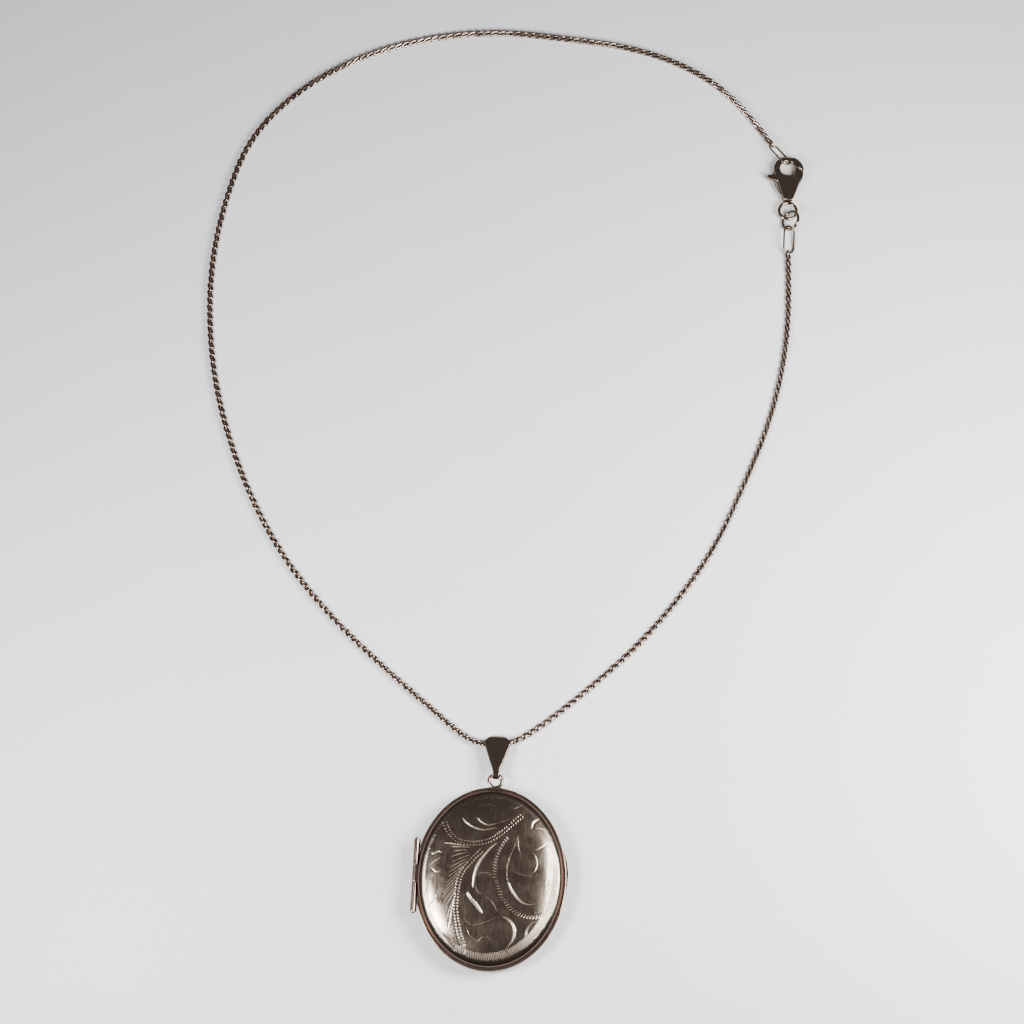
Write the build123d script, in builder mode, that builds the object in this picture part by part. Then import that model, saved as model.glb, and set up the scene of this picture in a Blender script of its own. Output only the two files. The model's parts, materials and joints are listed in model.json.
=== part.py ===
"""Engraved oval locket on a fine slanted-link chain, lying open-side up on its back.

Millimetres. +Z is up, +Y runs from the locket towards its hanging loop and the chain, the hinge is
on the -X side. The origin is the middle of the flat of the back cover, which the locket lies on.
"""

import os
from math import cos, pi, radians, sin, sqrt, tan

from build123d import *

os.makedirs("parts", exist_ok=True)

# Case: two pressed oval covers, each soldered to a flat rim
CASE_LENGTH = 36.6
CASE_WIDTH = 30.2
COVER_HEIGHT = 2.6
BACK_HEIGHT = 2.6
SHEET = 0.4
RIM_THICKNESS = 0.55
RIM_SHOWING = 0.6
PARTING_GAP = 0.1
BACK_FLAT_SHARE = 0.55
CROWN_FLAT_SHARE = 0.2
CUSHION_POWER = 2.6

# What stands inside the rims
WALL_INSET = 1.8
WALL_THICKNESS = 0.3
BEARER_GAP = 0.1
BEARER_RISE = 0.4
COVER_WALL_RISE = 0.8
LEDGE_WIDTH = 0.85
LEDGE_THICKNESS = 0.25
LEDGE_DROP = 0.6
BEARER_JOINT = 0.3
CARD_THICKNESS = 0.15
GLAZING_THICKNESS = 0.2
FRAME_THICKNESS = 0.3
FRAME_WIDTH = 1.5
FRAME_GAP = 0.05

# Hinge on the left edge
HINGE_LENGTH = 14.4
HINGE_OUT = 0.1
KNUCKLE_RADIUS = 0.6
KNUCKLE_GAP = 0.1
LANDING_DEPTH = 2.2
COVER_KNUCKLE_LENGTH = 3.2
COVER_KNUCKLE_Y = 0.3
PIN_RADIUS = 0.28
PIN_CLEARANCE = 0.03
PIN_HEAD_RADIUS = 0.46
PIN_HEAD_LENGTH = 0.4

# Thumb lip on the right edge
LIP_LENGTH = 9.2
LIP_Y = 2.1
LIP_OUT = 0.45
LIP_THICKNESS = 0.45

# Hanging loop and bail
LOOP_RADIUS = 1.32
LOOP_WIRE = 0.75
LOOP_STANDOFF = 1.45
LOOP_FOOT = 2.6
BAIL_LENGTH = 9.3
BAIL_WIDTH = 5.4
BAIL_SHOULDER_DROP = 1.65
BAIL_TOP_RADIUS = 3.15
BAIL_WAIST = 1.3
BAIL_WAIST_RISE = 1.75
BAIL_SHEET = 0.38
BAIL_CLEARANCE = 0.2
BAIL_EYE_RADIUS = 1.0

# Chain, its end eyes and the links on them
CHAIN_DIAMETER = 1.2
FLOOR_GAP = 0.02
EYE_RADIUS = 0.7
EYE_WIRE = 0.4
END_LINK_LENGTH = 6.4
END_LINK_WIDTH = 3.0
END_LINK_WIRE = 0.42
JUMP_RING_RADIUS = 2.0
JUMP_RING_WIRE = 0.7

# Lobster claw clasp, in its own plane with its tail ring below its own origin
CLASP_BELLY_RADIUS = 3.2
CLASP_BELLY_Y = 7.7
CLASP_NECK_RADIUS = 1.0
CLASP_NECK_Y = 0.9
CLASP_THICKNESS = 2.4
CLASP_FULL_Y = 4.0
CLASP_NECK_THICKNESS = 1.4
CLAW_THICKNESS = 0.6
CLAW_EYE_WIDTH = 3.4
CLAW_EYE_X = -0.25
CLAW_EYE_HEIGHT = 3.7
CLAW_EYE_Y = 7.95
TAIL_RING_RADIUS = 1.875
TAIL_RING_WIRE = 0.7
LEVER_THICKNESS = 0.8
LEVER_GAP = 0.1
LEVER_REACH = 4.3
SLOT_LOW_Y = 2.2
SLOT_HIGH_Y = 6.8
LEVER_X = 0.3
LEVER_Y = 4.2
RIVET_RADIUS = 0.4
RIVET_CLEARANCE = 0.05
SPRING_THICKNESS = 0.22
SPRING_WIDTH = 0.6

# Where the clasp and its links lie: the chain's two ends come to them from below and from the left
CLASP_AT = (56.55, 149.9, 1.35)
JUMP_RING_AT = (57.15, 145.61, 1.73)
JUMP_RING_ROLL = -40.7
EYE_A_AT = (56.8, 138.3, 0.95)
EYE_B_AT = (52.75, 163.75, 0.95)
END_LINK_A_AT = (56.95, 141.4, 1.19)
END_LINK_A_ALONG = (0, 1, 0.13)
END_LINK_A_ROLL = -29.5
END_LINK_B_AT = (54.5, 161.37, 1.25)
END_LINK_B_ALONG = (0.63, -0.69, 0)
END_LINK_B_ROLL = 41.0

# Heights worked out from the case
HALF_X = CASE_WIDTH / 2
HALF_Y = CASE_LENGTH / 2
PARTING_Z = BACK_HEIGHT + RIM_THICKNESS + PARTING_GAP / 2
CASE_RIM_Z = BACK_HEIGHT
CASE_TOP_Z = PARTING_Z - PARTING_GAP / 2
COVER_RIM_Z = PARTING_Z + PARTING_GAP / 2
COVER_DOME_Z = COVER_RIM_Z + RIM_THICKNESS
HINGE_X = -HALF_X + HINGE_OUT
LANDING_X = HINGE_X + KNUCKLE_RADIUS + PARTING_GAP
CHAIN_RADIUS = CHAIN_DIAMETER / 2
LOOP_Z = (CASE_RIM_Z + CASE_TOP_Z) / 2
LOOP_Y = HALF_Y + LOOP_STANDOFF
DOME_STEPS = (1.0, 0.985, 0.93, 0.82, 0.62, 0.35, 0.0)


def oval(inset=0.0, mode=Mode.ADD):
    """The rim's outline, or one a given distance inside it."""
    return Ellipse(HALF_X - inset, HALF_Y - inset, mode=mode)


def cushion(inset, start_z, rise, flat_share, mode=Mode.ADD):
    """A dome of stacked ovals: steep at its edge, level where the flat share begins."""
    levels = []
    for step in DOME_STEPS:
        share = flat_share + (1 - flat_share) * step
        height = rise * (1 - step**CUSHION_POWER) ** (1 / CUSHION_POWER)
        with BuildSketch(Plane.XY.offset(start_z + height)) as level:
            Ellipse((HALF_X - inset) * share, (HALF_Y - inset) * share)
        levels.append(level.sketch)
    loft(levels, ruled=True, mode=mode)


def oval_ring(outer_inset, inner_inset, low_z, high_z):
    """A flat band between two insets of the outline."""
    with BuildSketch(Plane.XY.offset(low_z)) as band:
        oval(outer_inset)
        oval(inner_inset, mode=Mode.SUBTRACT)
    extrude(band.sketch, amount=high_z - low_z)


def rim_flange(low_z):
    """One half's rim, with the straight landing that its hinge knuckles are soldered to."""
    with BuildSketch(Plane.XY.offset(low_z)) as flange:
        oval()
        with Locations((LANDING_X + LANDING_DEPTH / 2, 0)):
            Rectangle(LANDING_DEPTH, HINGE_LENGTH)
        oval(WALL_INSET, mode=Mode.SUBTRACT)
        with Locations((LANDING_X - LANDING_DEPTH / 2, 0)):
            Rectangle(LANDING_DEPTH, HINGE_LENGTH + 2 * KNUCKLE_GAP, mode=Mode.SUBTRACT)
    extrude(flange.sketch, amount=RIM_THICKNESS)


def knuckle(low_y, high_y, foot_low_z):
    """One hinge tube with the foot that joins it to its rim."""
    with BuildSketch(Plane.XZ.offset(-high_y)) as section:
        with Locations((HINGE_X, PARTING_Z)):
            Circle(KNUCKLE_RADIUS)
        with Locations(((HINGE_X + LANDING_X) / 2, foot_low_z + RIM_THICKNESS / 2)):
            Rectangle(LANDING_X - HINGE_X, RIM_THICKNESS)
        with Locations((HINGE_X, PARTING_Z)):
            Circle(PIN_RADIUS + PIN_CLEARANCE, mode=Mode.SUBTRACT)
    extrude(section.sketch, amount=high_y - low_y)


def save(name, builder):
    """Label one finished piece and write it."""
    builder.part.label = name
    export_step(builder.part, f"parts/{name}.step")


# ---------------------------------------------------------------- case halves
with BuildPart() as back_cover:
    cushion(RIM_SHOWING, CASE_RIM_Z, -BACK_HEIGHT, BACK_FLAT_SHARE)
    cushion(RIM_SHOWING + SHEET, CASE_RIM_Z, SHEET - BACK_HEIGHT, BACK_FLAT_SHARE, Mode.SUBTRACT)
save("back_cover", back_cover)

with BuildPart() as front_cover:
    cushion(RIM_SHOWING, COVER_DOME_Z, COVER_HEIGHT, CROWN_FLAT_SHARE)
    cushion(RIM_SHOWING + SHEET, COVER_DOME_Z, COVER_HEIGHT - SHEET, CROWN_FLAT_SHARE, Mode.SUBTRACT)
save("front_cover", front_cover)

with BuildPart() as case_rim:
    rim_flange(CASE_RIM_Z)
save("case_rim", case_rim)

# The bearer stands inside the case rim and reaches up into the cover, which snaps over it
BEARER_INSET = WALL_INSET + BEARER_GAP
BEARER_LOW_Z = CASE_RIM_Z - LEDGE_THICKNESS - LEDGE_DROP
with BuildPart() as snap_bearer:
    oval_ring(BEARER_INSET, BEARER_INSET + WALL_THICKNESS, BEARER_LOW_Z, PARTING_Z + BEARER_RISE)
    oval_ring(WALL_INSET, BEARER_INSET + WALL_THICKNESS, CASE_RIM_Z - BEARER_JOINT,
              CASE_TOP_Z - PARTING_GAP / 2)
    oval_ring(BEARER_INSET, BEARER_INSET + WALL_THICKNESS + LEDGE_WIDTH, BEARER_LOW_Z,
              BEARER_LOW_Z + LEDGE_THICKNESS)
save("snap_bearer", snap_bearer)

# The cover's rim carries a wall up inside the dome, with a ledge for the front picture
COVER_WALL_TOP = COVER_DOME_Z + COVER_WALL_RISE
with BuildPart() as cover_rim:
    rim_flange(COVER_RIM_Z)
    oval_ring(WALL_INSET - WALL_THICKNESS, WALL_INSET, COVER_RIM_Z, COVER_WALL_TOP)
    oval_ring(WALL_INSET - WALL_THICKNESS, WALL_INSET + LEDGE_WIDTH, COVER_WALL_TOP - LEDGE_THICKNESS,
              COVER_WALL_TOP)
    with BuildSketch(Plane.XY.offset(COVER_RIM_Z)):
        with Locations((LANDING_X - LANDING_DEPTH / 2, 0)):
            Rectangle(LANDING_DEPTH, HINGE_LENGTH + 2 * KNUCKLE_GAP)
    extrude(amount=RIM_THICKNESS, mode=Mode.SUBTRACT)
save("cover_rim", cover_rim)

# ---------------------------------------------------------------- pictures
REAR_STACK = BEARER_LOW_Z + LEDGE_THICKNESS
REAR_INSET = BEARER_INSET + WALL_THICKNESS + FRAME_GAP
FRONT_STACK = COVER_WALL_TOP - LEDGE_THICKNESS
FRONT_INSET = WALL_INSET + FRAME_GAP


def picture(name, inset, seat_z, towards):
    """A card, its glazing and the frame that holds both against a ledge."""
    card_end = seat_z + towards * CARD_THICKNESS
    glazing_end = card_end + towards * GLAZING_THICKNESS
    frame_end = glazing_end + towards * FRAME_THICKNESS
    with BuildPart() as card:
        with BuildSketch(Plane.XY.offset(min(seat_z, card_end))):
            oval(inset)
        extrude(amount=CARD_THICKNESS)
    save(f"{name}_photo_card", card)
    with BuildPart() as glazing:
        with BuildSketch(Plane.XY.offset(min(card_end, glazing_end))):
            oval(inset)
        extrude(amount=GLAZING_THICKNESS)
    save(f"{name}_glazing", glazing)
    with BuildPart() as frame:
        oval_ring(inset, inset + FRAME_WIDTH, min(glazing_end, frame_end), max(glazing_end, frame_end))
    save(f"{name}_photo_frame", frame)


picture("rear", REAR_INSET, REAR_STACK, 1)
picture("front", FRONT_INSET, FRONT_STACK, -1)

# ---------------------------------------------------------------- hinge
COVER_KNUCKLE_LOW = COVER_KNUCKLE_Y - COVER_KNUCKLE_LENGTH / 2
COVER_KNUCKLE_HIGH = COVER_KNUCKLE_Y + COVER_KNUCKLE_LENGTH / 2
HINGE_END = HINGE_LENGTH / 2

with BuildPart() as knuckle_top:
    knuckle(COVER_KNUCKLE_HIGH + KNUCKLE_GAP, HINGE_END, CASE_RIM_Z)
save("case_knuckle_top", knuckle_top)

with BuildPart() as knuckle_bottom:
    knuckle(-HINGE_END, COVER_KNUCKLE_LOW - KNUCKLE_GAP, CASE_RIM_Z)
save("case_knuckle_bottom", knuckle_bottom)

with BuildPart() as cover_knuckle:
    knuckle(COVER_KNUCKLE_LOW, COVER_KNUCKLE_HIGH, COVER_RIM_Z)
save("cover_knuckle", cover_knuckle)

with BuildPart() as hinge_pin:
    with BuildSketch(Plane.XZ.offset(-HINGE_END)):
        with Locations((HINGE_X, PARTING_Z)):
            Circle(PIN_RADIUS)
    extrude(amount=HINGE_LENGTH)
    for end_y, side in ((HINGE_END, 1), (-HINGE_END, -1)):
        with BuildSketch(Plane(origin=(HINGE_X, end_y, PARTING_Z), z_dir=(0, side, 0))):
            Circle(PIN_HEAD_RADIUS)
        extrude(amount=PIN_HEAD_LENGTH)
    fillet(hinge_pin.faces().sort_by(Axis.Y)[-1].edges(), PIN_HEAD_LENGTH * 0.7)
    fillet(hinge_pin.faces().sort_by(Axis.Y)[0].edges(), PIN_HEAD_LENGTH * 0.7)
save("hinge_pin", hinge_pin)

# ---------------------------------------------------------------- thumb lip
LIP_LOW_Y = LIP_Y - LIP_LENGTH / 2
LIP_HIGH_Y = LIP_Y + LIP_LENGTH / 2


def rim_x(y):
    """How far out the rim is at a given Y."""
    return HALF_X * sqrt(1 - (y / HALF_Y) ** 2)


with BuildPart() as thumb_lip:
    with BuildSketch(Plane.XY.offset(COVER_RIM_Z)):
        with BuildLine():
            ThreePointArc((rim_x(LIP_LOW_Y), LIP_LOW_Y), (rim_x(LIP_Y) + LIP_OUT, LIP_Y),
                          (rim_x(LIP_HIGH_Y), LIP_HIGH_Y))
            Polyline((rim_x(LIP_HIGH_Y), LIP_HIGH_Y), (HALF_X - 4, LIP_HIGH_Y),
                     (HALF_X - 4, LIP_LOW_Y), (rim_x(LIP_LOW_Y), LIP_LOW_Y))
        make_face()
        oval(mode=Mode.SUBTRACT)
    extrude(amount=LIP_THICKNESS)
save("thumb_lip", thumb_lip)

# ---------------------------------------------------------------- hanging loop and bail
with BuildPart() as hanging_loop:
    with Locations((0, LOOP_Y, LOOP_Z)):
        Torus(LOOP_RADIUS, LOOP_WIRE / 2)
    with BuildSketch(Plane.XY.offset(CASE_RIM_Z)):
        with Locations((0, HALF_Y)):
            Ellipse(LOOP_FOOT / 2, 0.45)
    extrude(amount=RIM_THICKNESS)
    with BuildSketch():
        oval()
    extrude(amount=2 * PARTING_Z, mode=Mode.SUBTRACT)
save("hanging_loop", hanging_loop)

# The bail folds round the loop's far wire and rests its wide end on the floor
BAIL_PIVOT_Y = LOOP_Y + LOOP_RADIUS
BAIL_PIN_RADIUS = LOOP_WIRE / 2 + BAIL_CLEARANCE
BAIL_EYE_Y = BAIL_PIVOT_Y - BAIL_PIN_RADIUS - BAIL_SHEET + BAIL_LENGTH - BAIL_EYE_RADIUS - BAIL_SHEET
BAIL_EYE_Z = BAIL_EYE_RADIUS + BAIL_SHEET + FLOOR_GAP
BAIL_TOP_Y = BAIL_EYE_Y + BAIL_EYE_RADIUS + BAIL_SHEET
BAIL_LOW_Y = BAIL_TOP_Y - BAIL_LENGTH


def bail_section(grow, mode):
    """The bail from its side: a long loop, narrow at the hanging loop and wide at the chain."""
    with BuildSketch(Plane.YZ, mode=Mode.PRIVATE) as side:
        with Locations((BAIL_PIVOT_Y, LOOP_Z)):
            Circle(BAIL_PIN_RADIUS + grow)
        with Locations((BAIL_EYE_Y, BAIL_EYE_Z)):
            Circle(BAIL_EYE_RADIUS + grow)
        make_hull()
    extrude(side.sketch, amount=BAIL_WIDTH, both=True, mode=mode)


with BuildPart() as bail:
    bail_section(BAIL_SHEET, Mode.ADD)
    bail_section(0, Mode.SUBTRACT)
    shoulder_y = BAIL_TOP_Y - BAIL_SHOULDER_DROP
    waist_y = BAIL_LOW_Y + BAIL_WAIST_RISE
    with BuildSketch():
        with BuildLine():
            ThreePointArc((-BAIL_WIDTH / 2, shoulder_y), (0, BAIL_TOP_Y + FLOOR_GAP),
                          (BAIL_WIDTH / 2, shoulder_y))
            Polyline((BAIL_WIDTH / 2, shoulder_y), (BAIL_WAIST / 2, waist_y),
                     (BAIL_WAIST / 2, BAIL_LOW_Y - 1), (-BAIL_WAIST / 2, BAIL_LOW_Y - 1),
                     (-BAIL_WAIST / 2, waist_y), (-BAIL_WIDTH / 2, shoulder_y))
        make_face()
    extrude(amount=3 * PARTING_Z, mode=Mode.INTERSECT)
save("bail", bail)

# ---------------------------------------------------------------- chain
# Route from the eye at the clasp's tail end, down the right side, through the bail and round to the
# eye at the claw. Heights are the chain's centreline; it lies on the floor except at the bail and
# at its two end eyes.
LYING = CHAIN_RADIUS + FLOOR_GAP
IN_BAIL = 1.34
CHAIN_ROUTE = [
    (56.9, 137.5, 0.9), (57.2, 131.0, LYING), (57.2, 121.6, LYING), (56.2, 111.0, LYING),
    (53.4, 98.4, LYING), (48.8, 85.8, LYING), (43.6, 72.8, LYING), (36.5, 61.0, LYING),
    (27.5, 49.5, LYING), (17.6, 39.8, LYING), (8.7, 31.9, 0.8), (2.8, 27.8, IN_BAIL),
    (-2.8, 27.4, IN_BAIL), (-6.9, 28.9, 0.9), (-12.4, 33.3, LYING), (-22.6, 41.3, LYING),
    (-34.6, 51.5, LYING), (-45.3, 63.2, LYING), (-53.2, 75.4, LYING), (-59.3, 88.4, LYING),
    (-63.8, 101.8, LYING), (-66.3, 115.4, LYING), (-67.1, 129.6, LYING), (-65.4, 144.6, LYING),
    (-61.3, 159.6, LYING), (-51.8, 171.4, LYING), (-38.8, 180.4, LYING), (-23.8, 185.8, LYING),
    (-8.0, 188.2, LYING), (8.0, 187.1, LYING), (22.6, 185.6, LYING), (36.0, 180.9, LYING),
    (46.6, 172.6, LYING), (52.2, 164.5, 0.9),
]
ARC_SHARE = 0.45


def corner_radii(route):
    """The largest arc that each corner of a route leaves room for."""
    radii = []
    for before, corner, after in zip(route, route[1:], route[2:]):
        inward = Vector(corner) - Vector(before)
        outward = Vector(after) - Vector(corner)
        half_turn = radians(inward.get_angle(outward)) / 2
        radii.append(ARC_SHARE * min(inward.length, outward.length) / tan(half_turn))
    return radii


chain_radii = corner_radii(CHAIN_ROUTE)
with BuildPart() as chain:
    with BuildLine() as chain_path:
        FilletPolyline(*CHAIN_ROUTE, radius=chain_radii)
    with BuildSketch(Plane(origin=chain_path.line @ 0, z_dir=chain_path.line % 0)):
        Circle(CHAIN_RADIUS)
    sweep()
save("chain", chain)
print("chain corner radii", [round(radius, 1) for radius in chain_radii])
chain_length = sum(edge.length for edge in chain_path.edges())
print("chain length", round(chain_length, 1), "volume over section times length",
      round(chain.part.volume / (chain_length * pi * CHAIN_RADIUS**2), 4))


def chain_eye(name, centre, along):
    """The round last link at an end of the chain, standing on edge in line with it."""
    with BuildPart(Plane(origin=centre, z_dir=Vector(*along).cross(Vector(0, 0, 1)))) as eye:
        Torus(EYE_RADIUS, EYE_WIRE / 2)
    save(name, eye)


chain_eye("chain_eye_a", EYE_A_AT, (0, 1, 0))
chain_eye("chain_eye_b", EYE_B_AT, (0.57, -0.82, 0))

# ---------------------------------------------------------------- end links and jump ring
LINK_END_RADIUS = (END_LINK_WIDTH - END_LINK_WIRE) / 2
LINK_REACH = (END_LINK_LENGTH - END_LINK_WIRE) / 2
LINK_STRAIGHT = LINK_REACH - LINK_END_RADIUS


def end_link(name, centre, along, roll):
    """A long oval link: two straight sides and two round ends, rolled about its own length."""
    ahead = Vector(*along).normalized()
    across = Vector(0, 0, 1).cross(ahead).normalized()
    facing = ahead.cross(across) * cos(radians(roll)) + across * sin(radians(roll))
    plane = Plane(origin=centre, x_dir=ahead, z_dir=facing)
    with BuildPart() as link:
        for side in (1, -1):
            start = plane.from_local_coords((-LINK_STRAIGHT, side * LINK_END_RADIUS, 0))
            with BuildSketch(Plane(origin=start, z_dir=plane.x_dir)):
                Circle(END_LINK_WIRE / 2)
            extrude(amount=2 * LINK_STRAIGHT)
            middle = plane.from_local_coords((side * LINK_STRAIGHT, 0, 0))
            bend = plane.from_local_coords((side * LINK_STRAIGHT, -side * LINK_END_RADIUS, 0))
            with BuildSketch(Plane(origin=bend, z_dir=plane.x_dir)):
                Circle(END_LINK_WIRE / 2)
            revolve(axis=Axis(middle, plane.z_dir), revolution_arc=180)
    save(name, link)


end_link("end_link_a", END_LINK_A_AT, END_LINK_A_ALONG, END_LINK_A_ROLL)
end_link("end_link_b", END_LINK_B_AT, END_LINK_B_ALONG, END_LINK_B_ROLL)

jump_ring_facing = (sin(radians(JUMP_RING_ROLL)), 0, cos(radians(JUMP_RING_ROLL)))
with BuildPart(Plane(origin=JUMP_RING_AT, z_dir=jump_ring_facing)) as jump_ring:
    Torus(JUMP_RING_RADIUS, JUMP_RING_WIRE / 2)
save("jump_ring", jump_ring)

# ---------------------------------------------------------------- clasp
clasp_plane = Plane(origin=CLASP_AT, z_dir=(0, 0, 1))
clasp_side = Plane(origin=CLASP_AT, x_dir=(0, 1, 0), z_dir=(1, 0, 0))
SLOT = LEVER_THICKNESS + 2 * LEVER_GAP
TAIL_RING_Y = -TAIL_RING_RADIUS


def tail_ring_shape():
    """The ring below the neck, as a shape that can be added or cut."""
    ring = Torus(TAIL_RING_RADIUS, TAIL_RING_WIRE / 2, mode=Mode.PRIVATE)
    return clasp_plane * Pos(0, TAIL_RING_Y, 0) * ring


with BuildPart() as clasp_body:
    with BuildSketch(clasp_plane):
        with Locations((0, CLASP_BELLY_Y)):
            Circle(CLASP_BELLY_RADIUS)
        with Locations((0, CLASP_NECK_Y)):
            Circle(CLASP_NECK_RADIUS)
        make_hull()
        with Locations((CLAW_EYE_X, CLAW_EYE_Y)):
            Ellipse(CLAW_EYE_WIDTH / 2, CLAW_EYE_HEIGHT / 2, mode=Mode.SUBTRACT)
    extrude(amount=CLASP_THICKNESS, both=True)
    with BuildSketch(clasp_side):
        with Locations((CLASP_NECK_Y, 0)):
            Circle(CLASP_NECK_THICKNESS / 2)
        with Locations((CLASP_FULL_Y, 0)):
            Circle(CLASP_THICKNESS / 2)
        with Locations((CLASP_BELLY_Y + 2.7, 0)):
            Circle(CLAW_THICKNESS / 2)
        make_hull()
    extrude(amount=2 * CLASP_BELLY_RADIUS, both=True, mode=Mode.INTERSECT)
    # the slot that the lever lies in, open on both sides
    with BuildSketch(clasp_plane):
        with Locations((0, (SLOT_LOW_Y + SLOT_HIGH_Y) / 2)):
            Rectangle(8, SLOT_HIGH_Y - SLOT_LOW_Y)
    extrude(amount=SLOT / 2, both=True, mode=Mode.SUBTRACT)
    # the mouth of the claw, which ends in an arc round the lever's pivot
    with BuildSketch(clasp_plane):
        with Locations((LEVER_X, LEVER_Y)):
            Circle(LEVER_REACH + LEVER_GAP)
        with Locations((3.2, 7.6)):
            Rectangle(4.4, 4.2, mode=Mode.INTERSECT)
    extrude(amount=CLASP_THICKNESS, both=True, mode=Mode.SUBTRACT)
    with BuildSketch(clasp_plane):
        with Locations((LEVER_X, LEVER_Y)):
            Circle(RIVET_RADIUS)
    extrude(amount=CLASP_THICKNESS, both=True, mode=Mode.SUBTRACT)
    add(tail_ring_shape(), mode=Mode.SUBTRACT)
save("clasp_body", clasp_body)

with BuildPart() as clasp_tail_ring:
    add(tail_ring_shape())
save("clasp_tail_ring", clasp_tail_ring)


def on_reach(x):
    """A point of the lever's gate, on its arc about the pivot."""
    return (x, LEVER_Y + sqrt(LEVER_REACH**2 - (x - LEVER_X) ** 2))


with BuildPart() as clasp_lever:
    with BuildSketch(clasp_plane):
        with BuildLine():
            Polyline(on_reach(1.5), (1.35, 6.3), (1.0, 5.95), (-2.9, 6.3), (-4.2, 6.3))
            ThreePointArc((-4.2, 6.3), (-4.65, 5.85), (-4.2, 5.4))
            Polyline((-4.2, 5.4), (-2.9, 5.2), (-0.4, 3.75))
            ThreePointArc((-0.4, 3.75), (LEVER_X, 3.35), (1.0, 3.75))
            Polyline((1.0, 3.75), (2.65, 5.1), (3.1, 6.3), on_reach(3.1))
            ThreePointArc(on_reach(3.1), on_reach(2.4), on_reach(1.5))
        make_face()
        with Locations((LEVER_X, LEVER_Y)):
            Circle(RIVET_RADIUS + RIVET_CLEARANCE, mode=Mode.SUBTRACT)
    extrude(amount=LEVER_THICKNESS / 2, both=True)
save("clasp_lever", clasp_lever)

with BuildPart() as clasp_rivet:
    with BuildSketch(clasp_plane):
        with Locations((LEVER_X, LEVER_Y)):
            Circle(RIVET_RADIUS)
    extrude(amount=CLASP_THICKNESS / 2, both=True)
save("clasp_rivet", clasp_rivet)

with BuildPart() as clasp_spring:
    with BuildSketch(clasp_plane):
        with BuildLine():
            ThreePointArc((-1.35, 1.7), (-2.55, 3.4), (-3.05, 5.0))
        trace(line_width=SPRING_THICKNESS)
    extrude(amount=SPRING_WIDTH / 2, both=True)
save("clasp_spring", clasp_spring)

print("bail axis", (0, round(BAIL_PIVOT_Y, 3), round(LOOP_Z, 3)), "bail eye", round(BAIL_EYE_Y, 3),
      round(BAIL_EYE_Z, 3), "top", round(BAIL_TOP_Y, 3))
print("hinge axis", round(HINGE_X, 3), round(PARTING_Z, 3), "clasp pivot",
      round(CLASP_AT[0] + LEVER_X, 3), round(CLASP_AT[1] + LEVER_Y, 3), CLASP_AT[2])
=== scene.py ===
"""Looks for the engraved locket on its slanted-link chain.

Metres, in the shared frame: +Z up through the closed case, +Y from the case to its hanging loop.
Sizes below are in millimetres and multiplied by MM where they are used.
"""

import json
from math import cos, pi, radians, sin

import bmesh
import bpy
import numpy as np
from mathutils import Matrix, Vector


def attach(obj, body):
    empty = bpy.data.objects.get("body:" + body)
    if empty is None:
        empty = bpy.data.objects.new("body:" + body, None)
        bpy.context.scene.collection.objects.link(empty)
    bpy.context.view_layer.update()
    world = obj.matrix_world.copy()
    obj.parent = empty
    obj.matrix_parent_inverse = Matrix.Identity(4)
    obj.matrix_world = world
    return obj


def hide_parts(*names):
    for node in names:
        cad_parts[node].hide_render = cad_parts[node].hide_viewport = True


MM = 0.001

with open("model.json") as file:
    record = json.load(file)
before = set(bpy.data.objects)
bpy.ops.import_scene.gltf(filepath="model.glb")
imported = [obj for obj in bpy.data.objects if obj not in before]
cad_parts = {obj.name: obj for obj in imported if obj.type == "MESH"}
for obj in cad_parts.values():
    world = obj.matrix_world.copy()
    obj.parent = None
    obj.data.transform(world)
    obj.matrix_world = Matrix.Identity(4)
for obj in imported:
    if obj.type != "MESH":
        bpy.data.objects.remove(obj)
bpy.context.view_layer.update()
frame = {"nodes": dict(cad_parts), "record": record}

# Sizes shared with the CAD parts
HALF_X, HALF_Y = 15.1, 18.3
DOME_X, DOME_Y = 14.5, 17.7
SHEET = 0.4
DOME_Z, DOME_RISE = 3.8, 2.6
CUSHION_POWER = 2.6
CROWN_FLAT, BACK_FLAT = 0.2, 0.55
LANDING_X, LANDING_HALF = -14.3, 7.2

# ------------------------------------------------------------------ camera
CAMERA_AT = Vector((8.25, -77.47, 507.2)) * MM
CAMERA_LOOKS_AT = Vector((0.40, 77.39, 0.0)) * MM
CAMERA_UP = Vector((-0.0506, 0.9987, 0.0))

camera_data = bpy.data.cameras.new("camera")
camera_data.lens = 89.2
camera_data.sensor_width = 36.0
camera_data.clip_start = 0.01
camera_data.clip_end = 5.0
camera = bpy.data.objects.new("camera", camera_data)
bpy.context.scene.collection.objects.link(camera)
back = (CAMERA_AT - CAMERA_LOOKS_AT).normalized()
right = CAMERA_UP.cross(back).normalized()
turn = Matrix((right, back.cross(right), back)).transposed()
camera.matrix_world = Matrix.Translation(CAMERA_AT) @ turn.to_4x4()
bpy.context.scene.camera = camera


# ------------------------------------------------------------------ materials
CUT_ROUGHNESS = 0.14


def link_nodes(tree, start, start_socket, end, end_socket):
    tree.links.new(start.outputs[start_socket], end.inputs[end_socket])


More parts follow.
